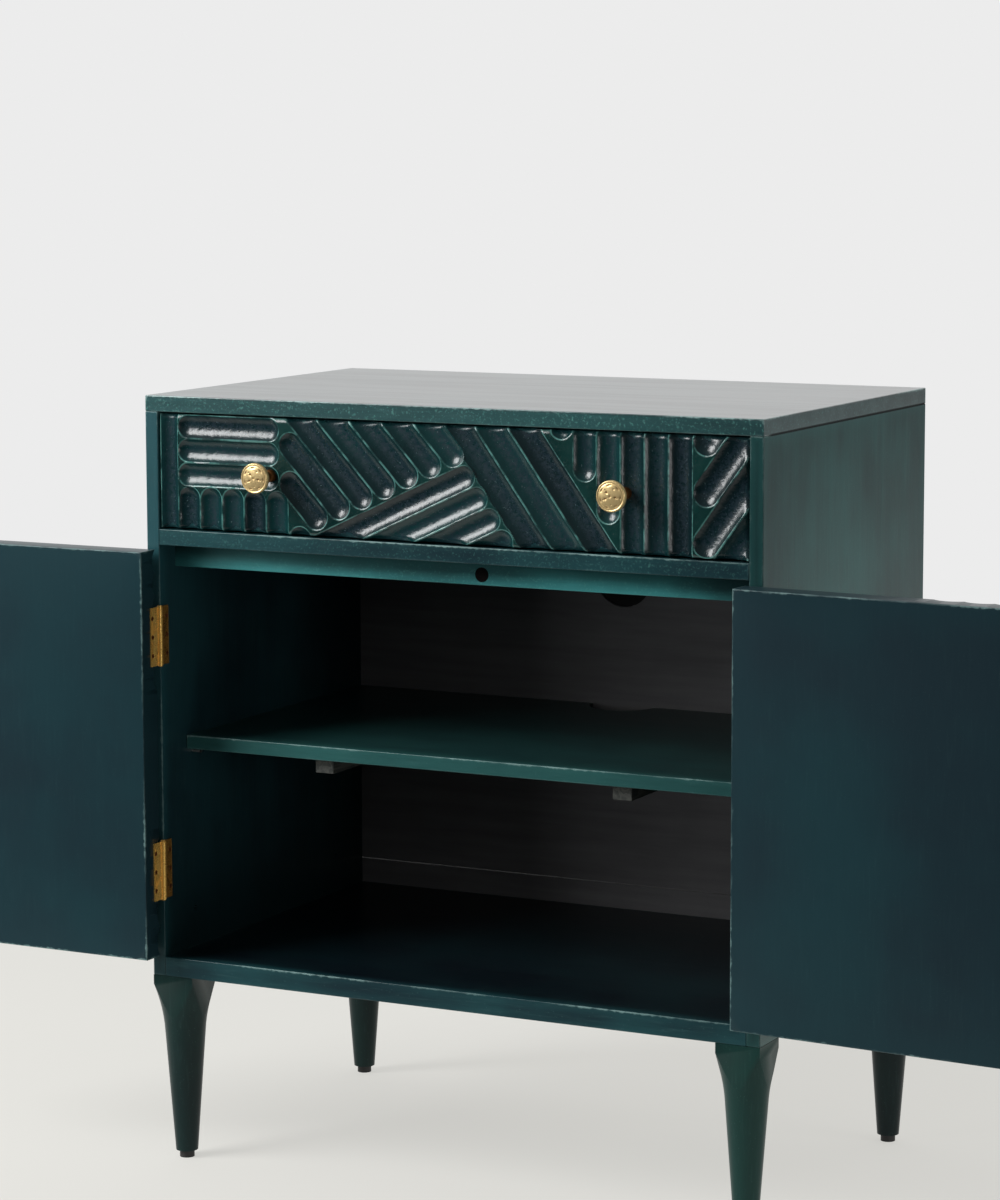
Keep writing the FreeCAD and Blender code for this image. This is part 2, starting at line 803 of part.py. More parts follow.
def main():
    pieces = {**carcass(), **drawer(), **doors()}
    bounds = Part.makeCompound(list(pieces.values())).optimalBoundingBox(False, False)
    shift = Vector(-(bounds.XMin + bounds.XMax) / 2, -(bounds.YMin + bounds.YMax) / 2, -bounds.ZMin)
    os.makedirs("parts", exist_ok=True)
    for name, shape in pieces.items():
        shape.translate(shift)
        shape.exportStep(os.path.join("parts", name + ".step"))
    return shift


origin_shift = main()
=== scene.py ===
import json
import math

import bmesh
import bpy
import numpy as np
from mathutils import Matrix, Vector


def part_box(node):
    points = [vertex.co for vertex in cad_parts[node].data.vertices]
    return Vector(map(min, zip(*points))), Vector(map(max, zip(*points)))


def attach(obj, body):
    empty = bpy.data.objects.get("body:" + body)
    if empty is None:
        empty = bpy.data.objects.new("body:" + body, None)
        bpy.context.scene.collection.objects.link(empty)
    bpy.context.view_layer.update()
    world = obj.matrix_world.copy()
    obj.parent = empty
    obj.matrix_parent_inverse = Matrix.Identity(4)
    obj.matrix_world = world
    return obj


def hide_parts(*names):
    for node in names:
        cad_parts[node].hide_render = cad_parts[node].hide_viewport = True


# Looks of a carved cabinet on turned legs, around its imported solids. Metres, +Z up, front to -Y.
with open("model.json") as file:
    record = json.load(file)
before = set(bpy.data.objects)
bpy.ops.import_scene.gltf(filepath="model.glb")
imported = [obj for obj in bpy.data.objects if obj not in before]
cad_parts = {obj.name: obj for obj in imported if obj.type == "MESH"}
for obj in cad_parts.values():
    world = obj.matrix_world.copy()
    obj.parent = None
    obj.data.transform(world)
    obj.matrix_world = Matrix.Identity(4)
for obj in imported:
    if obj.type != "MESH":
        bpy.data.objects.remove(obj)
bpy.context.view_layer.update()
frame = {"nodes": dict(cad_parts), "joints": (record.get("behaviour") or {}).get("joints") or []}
scene = bpy.context.scene
MM = 0.001

# Sizes that the looks repeat from the solids
front_thickness = 30 * MM
flute_depth = 6 * MM
flute_pitch = 27 * MM
flute_parallel_share = 0.3
pin_from_edge = 1.6 * MM
pin_lead = 3.2 * MM
door_size = (335.3 * MM, 440 * MM)
drawer_front_size = (676 * MM, 121 * MM)
knob_radius = 16 * MM
knob_disc_low = 31 * MM
knob_disc_thickness = 5 * MM
drawer_knob_offset = 204 * MM
door_knob_inset = 34 * MM
left_door_open = math.radians(180)
right_door_open = math.radians(176)

# Sizes of the finer forms that only the looks have
edge_ease = 1.0 * MM
back_edge_ease = 0.4 * MM
flute_land = 0.6 * MM
flute_soften = 0.35 * MM
flute_wander = 1.0 * MM
carved_rim = 5.0 * MM
drawer_carving_step = 1.0 * MM
door_carving_step = 1.6 * MM
merge_distance = 0.002 * MM
knob_sides = 96
knob_dome_rings = 44
knob_dome_radius = 15.4 * MM
knob_dome_rise = 1.9 * MM
knob_rim_radius = 14.9 * MM
knob_rim_width = 0.7 * MM
knob_rim_rise = 0.5 * MM
knob_chasing_depth = 0.8 * MM
screw_sides = 32

# Angles past which an edge stays crisp, and below which two faces count as one flat
board_ridge = math.radians(40)
turned_ridge = math.radians(35)
carved_ridge = math.radians(50)
same_flat = math.radians(0.5)

# A knob's turned profile, radius and height in millimetres: from the panel, then from each face of its disc
knob_stem = ((0, 0), (6.5, 0), (6.5, 8), (6.2, 9), (5.2, 9.6), (4.9, 13), (4.8, 18), (5.2, 23), (6.4, 27),
             (9.0, 29.6))
knob_disc_back = ((13.0, 0), (15.0, 0.3), (15.8, 1.1), (16.0, 2.0))
knob_disc_front = ((16.0, -1.6), (15.9, -0.8), (15.6, -0.2))

# Each patch of the carving: corners as shares of the panel, and the run of its flutes in degrees
drawer_patch_shares = (
    (((0.0, 0.0), (0.034, 0.0), (0.034, 1.0), (0.0, 1.0)), 90.0),
    (((0.034, 0.375), (0.216, 0.375), (0.216, 1.0), (0.034, 1.0)), 0.0),
    (((0.034, 0.0), (0.272, 0.0), (0.225, 0.375), (0.034, 0.375)), 90.0),
    (((0.216, 0.5), (0.276, 0.03), (0.543, 0.70), (0.506, 1.0), (0.216, 1.0)), -47.0),
    (((0.276, 0.0), (0.629, 0.0), (0.543, 0.70)), 25.0),
    (((0.629, 0.0), (0.794, 0.0), (0.666, 1.0), (0.506, 1.0)), -54.0),
    (((0.794, 0.0), (0.913, 0.0), (0.913, 1.0), (0.680, 1.0)), 90.0),
    (((0.913, 0.0), (1.0, 0.0), (1.0, 1.0), (0.913, 1.0)), 54.0),
)
door_patch_shares = (
    (((0.0, 0.66), (0.45, 0.723), (0.6, 1.0), (0.0, 1.0)), 0.0),
    (((0.45, 0.723), (1.0, 0.8), (1.0, 1.0), (0.6, 1.0)), 58.0),
    (((0.0, 0.3), (0.3, 0.336), (0.38, 0.713), (0.0, 0.66)), 90.0),
    (((0.3, 0.336), (0.72, 0.386), (0.66, 0.752), (0.38, 0.713)), -46.0),
    (((0.72, 0.386), (1.0, 0.42), (1.0, 0.8), (0.66, 0.752)), 24.0),
    (((0.0, 0.0), (0.48, 0.0), (0.55, 0.366), (0.0, 0.3)), -35.0),
    (((0.48, 0.0), (1.0, 0.0), (1.0, 0.42), (0.55, 0.366)), 90.0),
)

# Screws, as shares of the head's radius
screw_flat_share = 0.86
countersunk_rim_share = 0.18
countersunk_edge_share = 0.05
pan_rim_share = 0.35
pan_height_share = 0.8
shank_share = 1.2
recess_taper_share = 0.72
recess_depth_share = 0.42
slot_recess_shares = ((-0.8, -0.13), (0.8, -0.13), (0.8, 0.13), (-0.8, 0.13))
cross_recess_shares = ((-0.6, -0.13), (-0.2, -0.13), (-0.13, -0.2), (-0.13, -0.6),
                       (0.13, -0.6), (0.13, -0.2), (0.2, -0.13), (0.6, -0.13),
                       (0.6, 0.13), (0.2, 0.13), (0.13, 0.2), (0.13, 0.6),
                       (-0.13, 0.6), (-0.13, 0.2), (-0.2, 0.13), (-0.6, 0.13))


# Finishes


class Value:
    """A socket of one tree, so that its maths is written as plain sums."""

    def __init__(self, owner, socket):
        self.owner = owner
        self.socket = socket

    def math(self, operation, first, second=0.0):
        return self.owner.node("ShaderNodeMath", {"operation": operation}, {0: first, 1: second})

    def __add__(self, other):
        return self.math("ADD", self, other)

    def __sub__(self, other):
        return self.math("SUBTRACT", self, other)

    def __rsub__(self, other):
        return self.math("SUBTRACT", other, self)

    def __mul__(self, other):
        return self.math("MULTIPLY", self, other)

    def __truediv__(self, other):
        return self.math("DIVIDE", self, other)

    def __pow__(self, other):
        return self.math("POWER", self, other)

    __radd__ = __add__
    __rmul__ = __mul__

    def least(self, other):
        return self.math("MINIMUM", self, other)

    def most(self, other):
        return self.math("MAXIMUM", self, other)

    def step(self, start, end):
        """0 before start and 1 after end, with a smooth rise between."""
        ends = {"Value": self, "From Min": start, "From Max": end}
        return self.owner.node("ShaderNodeMapRange", {"interpolation_type": "SMOOTHSTEP"}, ends)


class Nodes:
    """A tree of nodes, for a finish or for a shape."""

    def node(self, kind, settings, inputs, out=0):
        made = self.tree.nodes.new(kind)
        for key, value in settings.items():
            setattr(made, key, value)
        for key, value in inputs.items():
            if isinstance(value, Value):
                self.tree.links.new(value.socket, made.inputs[key])
            else:
                made.inputs[key].default_value = value
        return Value(self, made.outputs[out])

    def split(self, vector, axes):
        """The parts of a vector along the named axes."""
        return [self.node("ShaderNodeSeparateXYZ", {}, {"Vector": vector}, axis) for axis in axes]


class Finish(Nodes):
    """A material and the nodes that make it."""

    def __init__(self, name):
        self.material = bpy.data.materials.new(name)
        self.material.use_nodes = True
        self.tree = self.material.node_tree
        self.shader = self.tree.nodes["Principled BSDF"]
        self.place = self.node("ShaderNodeTexCoord", {}, {}, "Object")

    def noise(self, scale, detail=3.0, roughness=0.5, stretch=(1, 1, 1)):
        place = self.node("ShaderNodeMapping", {}, {"Vector": self.place, "Scale": stretch})
        inputs = {"Vector": place, "Scale": scale, "Detail": detail, "Roughness": roughness}
        return self.node("ShaderNodeTexNoise", {}, inputs)

    def specks(self, scale, size, share):
        """Dots of paint grain: a few random cells of a fine pattern."""
        inputs = {"Vector": self.place, "Scale": scale}
        near = self.node("ShaderNodeTexVoronoi", {}, inputs, "Distance")
        tint = self.node("ShaderNodeTexVoronoi", {}, inputs, "Color")
        chance = self.node("ShaderNodeSeparateColor", {}, {"Color": tint}, "Red")
        return near.step(size, size * 0.4) * chance.step(1 - share, 1 - share * 0.6)

    def attribute(self, name, out="Fac"):
        return self.node("ShaderNodeAttribute", {"attribute_name": name}, {}, out)

    def edge_distance(self):
        """Metres from the nearest edge of a board, from the two corners that its mesh carries."""
        corners = {0: self.attribute("from_low", "Vector"), 1: self.attribute("from_high", "Vector")}
        near = self.node("ShaderNodeVectorMath", {"operation": "MINIMUM"}, corners)
        x, y, z = self.split(near, "XYZ")
        return x.least(y).most(x.most(y).least(z))

    def mix(self, share, first, second):
        """Two colours mixed: a Mix node has its factor at 0, its colours at 6 and 7, the result at 2."""
        return self.node("ShaderNodeMix", {"data_type": "RGBA"}, {0: share, 6: first, 7: second}, 2)

    def bump(self, height, distance, strength=1.0, under=None):
        inputs = {"Height": height, "Distance": distance, "Strength": strength}
        if under is not None:
            inputs["Normal"] = under
        return self.node("ShaderNodeBump", {}, inputs)

    def set(self, **sockets):
        for key, value in sockets.items():
            socket = self.shader.inputs[key.replace("_", " ")]
            if isinstance(value, Value):
                self.tree.links.new(value.socket, socket)
            else:
                socket.default_value = value
        return self.material


def rgb(red, green, blue):
    """A colour as it reads on a screen, 0 to 255, for a shader."""
    def linear(value):
        share = value / 255
        return share / 12.92 if share < 0.04045 else ((share + 0.055) / 1.055) ** 2.4
    return (linear(red), linear(green), linear(blue), 1.0)


GRAIN = {"x": (1.0, 14.0, 14.0), "y": (14.0, 1.0, 14.0), "z": (14.0, 14.0, 1.0)}
TEAL_DEEP, TEAL_LIGHT, LEG_DEEP = rgb(14, 32, 40), rgb(27, 64, 68), rgb(10, 32, 32)
NEAR_BLACK = (0.002, 0.003, 0.005, 1.0)


def lacquer(name, grain, deep, light, dark=NEAR_BLACK, edged=True, worn=0.6, border=14 * MM, gloss=0.3,
            shine=0.35, coat=0.0, streak=0.6, speckle=0.0, far_shade=0.0, rear=0.0, low_shade=0.0, lid_shade=0.0,
            inside_shade=0.0, front=0.0, rise=0.0, seam=0.0):
    """Teal stain under satin lacquer: clouds, drawn-out grain, paint specks and rubbed edges.

    The shares from fade to front say how far painted shade darkens the stain away from the middle, at the
    rear, at the low end, on the upper face, on inner faces and on the front edge, and seam how far the
    stain darkens along a joint. rise is the height over which painted shade takes a strip from light to
    deep; painted shade darkens the strip's ends as well. Squares of x treat left and right alike.
    """
    paint = Finish(name)
    clouds = paint.noise(4.0, 4.0, 0.55)
    drawn = paint.noise(3.2, 5.0, 0.6, GRAIN[grain])
    fine = paint.noise(26.0, 4.0, 0.65, GRAIN[grain])
    tone = (clouds * (1 - 0.4 * streak) + drawn * (0.4 * streak)).step(0.36, 0.64)
    x, y, z = paint.split(paint.place, "XYZ")
    # Painted shade: the doors darker towards their far edges.
    if far_shade:
        tone = tone * (1 - (x * x).step(0.16, 0.42) * far_shade)
    colour = paint.mix(tone, deep, light)
    # Painted shade: darker towards the back, as on the rear legs.
    if rear:
        colour = paint.mix(y.step(0.0, 0.2) * rear, colour, dark)
    colour = paint.mix(fine.step(0.52, 0.78) * (0.2 * streak), colour, rgb(92, 128, 126))
    colour = paint.mix(fine.step(0.46, 0.3) * (0.35 * streak), colour, rgb(8, 20, 26))
    dots = paint.specks(520.0, 0.34, 0.08)
    colour = paint.mix(dots * (0.3 * streak), colour, rgb(120, 160, 156))
    if speckle:
        flecks = paint.noise(380.0, 2.0, 0.7).step(0.56, 0.68)
        colour = paint.mix(flecks * speckle, colour, rgb(104, 168, 158))
    # Painted shade: the sides darker towards their bottom ends.
    if low_shade:
        colour = paint.mix(z.step(0.40, 0.21) * low_shade, colour, LEG_DEEP)
    rough = drawn * 0.06 + (gloss - 0.03)
    joint = 0.0
    if edged:
        depth, above = paint.split(paint.attribute("from_low", "Vector"), "YZ")
        below = paint.split(paint.attribute("from_high", "Vector"), "Z")[0]
        # Painted shade: the upper face darker, against the light that falls on it.
        if lid_shade:
            colour = paint.mix(below.step(3 * MM, 1 * MM) * lid_shade, colour, rgb(16, 26, 30))
        # Painted shade on the faces within the cabinet.
        if inside_shade:
            within = (x * x).step(0.121, 0.117) * depth.step(2 * MM, 20 * MM)
            colour = paint.mix(within * inside_shade, colour, dark)
        # Painted shade along the front edge of the side.
        if front:
            colour = paint.mix(depth.step(3 * MM, 1 * MM) * front, colour, rgb(10, 20, 24))
        distance = paint.edge_distance()
        ragged = paint.noise(160.0, 3.0, 0.6)
        runs = paint.noise(9.0, 3.0, 0.6)
        rubbed = (distance + (ragged - 0.5) * (6 * MM)).step(2.1 * MM, 0.3 * MM) * runs.step(0.40, 0.62)
        if grain == "x":
            rubbed = rubbed * (below.step(7 * MM, 3 * MM) * 0.85 + 0.15)
        soft = distance.step(border, 0.0) * (1 - rubbed) * (runs * 0.8 + 0.2)
        colour = paint.mix(soft * 0.6, colour, light)
        # Painted shade over the upper part of the strip, under the divider.
        if rise:
            colour = paint.mix(above.step(0.0, rise) * 0.9, colour, deep)
        colour = paint.mix(rubbed * worn, colour, rgb(124, 156, 154))
        rough = rough + rubbed * 0.1
        # Painted shade at both ends of the strip.
        if rise:
            colour = paint.mix((x * x).step(0.05, 0.11) * 0.6, colour, dark)
        if seam:
            joint = (above if grain == "x" else below).step(1.8 * MM, 0.8 * MM)
            joint = joint * depth.step(6 * MM, 22 * MM) * seam
            colour = paint.mix(joint, colour, dark)
            rough = rough + joint * 0.5
    if coat:
        coat = coat * (drawn.step(0.36, 0.6) * 0.2 + 0.8) * (1 - joint)
    normal = paint.bump(fine, 0.2 * MM, 0.35 * streak, paint.bump(drawn, 0.8 * MM, 0.25 * streak))
    return paint.set(Base_Color=colour, Roughness=rough, Normal=normal, Coat_Weight=coat,
                     Coat_Roughness=gloss, Specular_IOR_Level=shine)


def carved_lacquer(name):
    """The lacquer on the carving: a painted sheen low in the flutes, teal walls, and wear and a painted
    highlight along the brinks.
    """
    paint = Finish(name)
    hollow = paint.attribute("hollow")
    flute_tone = paint.attribute("flute_tone")
    brink = paint.attribute("brink")
    clouds = paint.noise(9.0, 4.0, 0.6)
    flute_sheen = paint.noise(240.0, 4.0, 0.7)
    blend = (clouds * 0.6 + flute_tone * 0.4).step(0.3, 0.7)
    colour = paint.mix(blend, rgb(7, 30, 34), rgb(9, 50, 51))
    # Painted sheen low in the flutes, broken into patches.
    colour = paint.mix(hollow.step(0.6, 1.0) * flute_sheen.step(0.34, 0.62) * 0.7, colour, rgb(36, 48, 57))
    flat = brink.step(-0.4 * MM, 0.6 * MM)
    colour = paint.mix(flat, colour, paint.mix(clouds.step(0.35, 0.65), rgb(5, 35, 34), rgb(9, 52, 49)))
    # Light lines along the brinks: wear and a painted highlight.
    worn = paint.noise(60.0, 4.0, 0.65).step(0.38, 0.62)
    line = brink.step(0.9 * MM, 0.2 * MM) * brink.step(-1.1 * MM, -0.3 * MM)
    colour = paint.mix(line * (worn * 0.55 + 0.05), colour, rgb(98, 156, 149))
    # Light along the panel's edges: wear and a painted highlight.
    rim = paint.edge_distance().step(2.8 * MM, 0.6 * MM) * paint.noise(30.0, 3.0, 0.6).step(0.35, 0.6)
    colour = paint.mix(rim * 0.5, colour, rgb(120, 164, 158))
    # Pale dots low in the flutes: painted glints.
    dots = paint.noise(620.0, 2.0, 0.7).step(0.66, 0.74) * hollow.step(0.45, 0.9)
    colour = paint.mix(dots * 0.6, colour, rgb(126, 148, 152))
    chatter = paint.noise(170.0, 3.0, 0.6)
    waves = paint.noise(40.0, 2.0, 0.5)
    normal = paint.bump(chatter, 1.0 * MM, 0.45, paint.bump(waves, 1.8 * MM, 0.4))
    return paint.set(Base_Color=colour, Roughness=clouds * 0.10 + 0.20, Normal=normal,
                     Specular_IOR_Level=0.6)


def dark_board(name, grain, colour_low, colour_high, rear):
    """Board at the back: thin dark stain with its grain showing, bare of polish behind."""
    paint = Finish(name)
    clouds = paint.noise(4.0, 4.0, 0.6)
    drawn = paint.noise(5.0, 6.0, 0.6, GRAIN[grain])
    tone = (clouds * 0.5 + drawn * 0.5).step(0.35, 0.66)
    behind = paint.split(paint.attribute("from_high", "Vector"), "Y")[0].step(4 * MM, 2 * MM)
    colour = paint.mix(tone, colour_low, colour_high)
    colour = paint.mix(behind, colour, paint.mix(tone, rear, rgb(74, 70, 66)))
    normal = paint.bump(drawn, 0.6 * MM, 0.3)
    return paint.set(Base_Color=colour, Roughness=drawn * 0.12 + 0.45, Normal=normal)


def pale_wood(name, grain, colour_low, colour_high):
    """Unpainted wood with rings drawn out along the board and open pores."""
    paint = Finish(name)
    rings = paint.noise(4.0, 3.0, 0.5, GRAIN[grain])
    band = paint.node("ShaderNodeMath", {"operation": "FRACT"}, {0: rings * 9.0})
    pores = paint.noise(60.0, 3.0, 0.7, GRAIN[grain])
    colour = paint.mix(band.step(0.1, 0.95), colour_low, colour_high)
    colour = paint.mix(pores.step(0.6, 0.8) * 0.5, colour, rgb(84, 56, 34))
    normal = paint.bump(pores, 0.3 * MM, 0.4)
    return paint.set(Base_Color=colour, Roughness=pores * 0.15 + 0.55, Normal=normal)


def aged_metal(name, base, dark, gloss, tarnish=0.5, metal=1.0, shade=None):
    """Metal with hand rubbing, small pits and tarnish that gathers in clouds."""
    paint = Finish(name)
    clouds = paint.noise(90.0, 4.0, 0.6)
    pits = paint.noise(600.0, 2.0, 0.6)
    # The dark of the recess attribute: tarnish in chased and screw hollows, and painted shade on knob
    # stems.
    sunk = paint.attribute("recess")
    cover = ((clouds * 0.7 + pits * 0.3).step(0.48, 0.72) * tarnish).most(sunk)
    colour = paint.mix(cover, base, dark)
    if shade:
        depth = paint.split(paint.place, "Y")[0]
        colour = paint.mix(depth.step(*shade) * 0.8, colour, dark)
    normal = paint.bump(pits, 0.2 * MM, 0.25)
    return paint.set(Base_Color=colour, Metallic=metal, Roughness=cover * 0.25 + gloss, Normal=normal)


def moulded_plastic(name, colour):
    """Matt plastic with a fine grain and a few scuffs."""
    paint = Finish(name)
    grainy = paint.noise(900.0, 2.0, 0.6)
    scuffs = paint.noise(50.0, 4.0, 0.6)
    shade = paint.mix(scuffs.step(0.55, 0.8) * 0.4, colour, rgb(62, 62, 62))
    normal = paint.bump(grainy, 0.1 * MM, 0.4)
    return paint.set(Base_Color=shade, Roughness=scuffs * 0.2 + 0.4, Normal=normal)


finishes = {
    "teal_x": lacquer("teal_lacquer_across", "x", TEAL_DEEP, TEAL_LIGHT, worn=0.8, speckle=0.2),
    "teal_top": lacquer("teal_lacquer_top", "x", rgb(11, 38, 42), rgb(26, 74, 75), coat=1.0, shine=0.5,
                        worn=0.9, streak=1.0, lid_shade=0.6, speckle=0.5, seam=0.9),
    "teal_left": lacquer("teal_lacquer_left_side", "z", rgb(20, 48, 54), rgb(34, 74, 80), rgb(22, 27, 33),
                         worn=0.3, inside_shade=0.25, low_shade=0.8, seam=0.9),
    "teal_right": lacquer("teal_lacquer_right_side", "z", rgb(22, 56, 56), rgb(36, 86, 84), worn=0.3,
                          inside_shade=0.7, low_shade=0.5, front=0.6, seam=0.9),
    "teal_bottom": lacquer("teal_lacquer_bottom", "x", TEAL_DEEP, TEAL_LIGHT, inside_shade=0.75, shine=0.25),
    "teal_shelf": lacquer("teal_lacquer_shelf", "x", rgb(28, 62, 62), rgb(40, 84, 82), inside_shade=0.4),
    "teal_strip": lacquer("teal_lacquer_strip", "x", rgb(22, 54, 56), rgb(70, 156, 157), border=20 * MM,
                          rise=24 * MM, speckle=0.3),
    "teal_leg": lacquer("teal_lacquer_turned", "z", LEG_DEEP, rgb(18, 52, 48), edged=False, shine=0.2,
                        streak=0.3, rear=0.5),
    "teal_door": lacquer("teal_lacquer_doors", "z", rgb(26, 43, 50), rgb(26, 52, 58), shine=0.25,
                         streak=0.15, border=40 * MM, far_shade=0.35),
    "carved": carved_lacquer("carved_lacquer"),
    "back": dark_board("dark_back_board", "x", rgb(82, 82, 84), rgb(100, 100, 102), rgb(44, 44, 43)),
    "drawer_wood": pale_wood("drawer_box_wood", "y", rgb(170, 128, 84), rgb(196, 156, 108)),
    "drawer_wood_x": pale_wood("drawer_box_wood_across", "x", rgb(172, 130, 86), rgb(194, 154, 107)),
    "raw_wood": pale_wood("raw_hardwood", "y", rgb(150, 122, 90), rgb(178, 150, 114)),
    "batten_wood": pale_wood("stained_hardwood", "y", rgb(40, 44, 42), rgb(66, 68, 64)),
    "brass": aged_metal("aged_brass", rgb(255, 204, 108), rgb(168, 104, 34), 0.26, 0.45, 0.55),
    "leaf_brass": aged_metal("shaded_brass", rgb(255, 204, 108), rgb(120, 74, 26), 0.26, 0.45, 0.55,
                             (-193.5 * MM, -191.5 * MM)),
    "dark_brass": aged_metal("tarnished_brass", rgb(120, 66, 34), rgb(44, 20, 10), 0.4, 0.8, 0.6),
    "knob_brass": aged_metal("pale_brass", rgb(250, 220, 158), rgb(96, 58, 20), 0.32, 0.3, 0.7),
    "steel": aged_metal("zinc_steel", rgb(178, 178, 176), rgb(96, 94, 92), 0.34),
    "magnet": aged_metal("dark_magnet", rgb(34, 32, 32), rgb(20, 18, 18), 0.45),
    "black_plastic": moulded_plastic("black_glide", rgb(16, 16, 17)),
}


# Meshes


def add_object(name, data):
    obj = bpy.data.objects.new(name, data)
    scene.collection.objects.link(obj)
    return obj


def settle(obj):
    """Turns what the modifiers give into the object's own plain mesh."""
    graph = bpy.context.evaluated_depsgraph_get()
    made = bpy.data.meshes.new_from_object(obj.evaluated_get(graph))
    old = obj.data
    obj.modifiers.clear()
    obj.data = made
    made.name = obj.name
    if old.users == 0:
        bpy.data.meshes.remove(old)


def dress(obj, finish, body, slot, node):
    """Gives a piece its finish, hangs it on the body that it rides on and hides the solid it stands for."""
    obj.data.materials.clear()
    obj.data.materials.append(finishes[finish])
    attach(obj, body)
    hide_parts(node)


def mark_corners(mesh, low, high):
    """Stores each point's way from the board's far corners, for rubbed edges, painted shade and highlights.
    """
    points = np.empty(len(mesh.vertices) * 3, np.float32)
    mesh.vertices.foreach_get("co", points)
    points = points.reshape(-1, 3)
    for name, values in (("from_low", points - np.array(low)), ("from_high", np.array(high) - points)):
        layer = mesh.attributes.new(name, "FLOAT_VECTOR", "POINT")
        layer.data.foreach_set("vector", np.ascontiguousarray(values, np.float32).ravel())


def merged(node):
    """A copy of a solid's mesh with its points joined."""
    bm = bmesh.new()
    bm.from_mesh(frame["nodes"][node].data)
    bmesh.ops.remove_doubles(bm, verts=bm.verts, dist=merge_distance)
    return bm


def made_whole(node):
    """A merged copy of a solid's mesh with its flat faces whole again."""
    bm = merged(node)
    bmesh.ops.dissolve_limit(bm, angle_limit=same_flat, verts=bm.verts, edges=bm.edges)
    return bm


def smooth_mesh(bm, name, ridge):
    """The finished mesh, smooth but for edges that turn by more than the ridge angle."""
    for face in bm.faces:
        face.smooth = True
    mesh = bpy.data.meshes.new(name)
    bm.to_mesh(mesh)
    bm.free()
    mesh.set_sharp_from_angle(angle=ridge)
    return mesh


def eased_board(node, finish, body, slot, ease=edge_ease):
    """The board with its long edges eased, as sanding before the lacquer leaves them."""
    low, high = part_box(node)
    bm = made_whole(node)
    near = 0.01 * MM
    outer = []
    for edge in bm.edges:
        one, two = (v.co for v in edge.verts)
        shared = 0
        for axis in range(3):
            for plane in (low[axis], high[axis]):
                if abs(one[axis] - plane) < near and abs(two[axis] - plane) < near:
                    shared += 1
        if shared > 1:
            outer.append(edge)
    bmesh.ops.bevel(bm, geom=outer, offset=ease, offset_type="OFFSET", segments=3, profile=0.5,
                    affect="EDGES", clamp_overlap=True)
    mesh = smooth_mesh(bm, node + "_eased", board_ridge)
    mark_corners(mesh, low, high)
    obj = add_object(node + "_eased", mesh)
    weighted = obj.modifiers.new("flats", "WEIGHTED_NORMAL")
    weighted.keep_sharp = True
    weighted.weight = 100
    settle(obj)
    dress(obj, finish, body, slot, node)


def smoothed(node, finish, body, slot):
    """A merged copy of a turned solid with smooth faces and crisp ridges."""
    obj = add_object(node + "_smooth", smooth_mesh(made_whole(node), node + "_smooth", turned_ridge))
    dress(obj, finish, body, slot, node)


# Trees of what repeats


class Shape(Nodes):
    """A Geometry Nodes tree with named sizes."""

    kinds = {float: "NodeSocketFloat", int: "NodeSocketInt", "object": "NodeSocketObject",
             "finish": "NodeSocketMaterial"}

    def __init__(self, name, **sizes):
        self.tree = bpy.data.node_groups.new(name, "GeometryNodeTree")
        ports = self.tree.interface
        ports.new_socket("Geometry", in_out="INPUT", socket_type="NodeSocketGeometry")
        for key, kind in {**sizes, "finish": "finish"}.items():
            ports.new_socket(key, in_out="INPUT", socket_type=self.kinds[kind])
        ports.new_socket("Geometry", in_out="OUTPUT", socket_type="NodeSocketGeometry")
        self.source = self.tree.nodes.new("NodeGroupInput")
        self.end = self.tree.nodes.new("NodeGroupOutput")

    def size(self, name):
        return Value(self, self.source.outputs[name])

    def close(self, geometry):
        real = self.node("GeometryNodeRealizeInstances", {}, {0: geometry})
        inputs = {"Geometry": real, "Material": self.size("finish")}
        painted = self.node("GeometryNodeSetMaterial", {}, inputs)
        self.tree.links.new(painted.socket, self.end.inputs[0])
        return self

    def grow(self, obj, **values):
        """Runs the tree on an object with these sizes and keeps the result as its mesh."""
        modifier = obj.modifiers.new(self.tree.name, "NODES")
        modifier.node_group = self.tree
        for item in self.tree.interface.items_tree:
            if item.in_out == "INPUT" and item.name in values:
                modifier[item.identifier] = values[item.name]
        settle(obj)


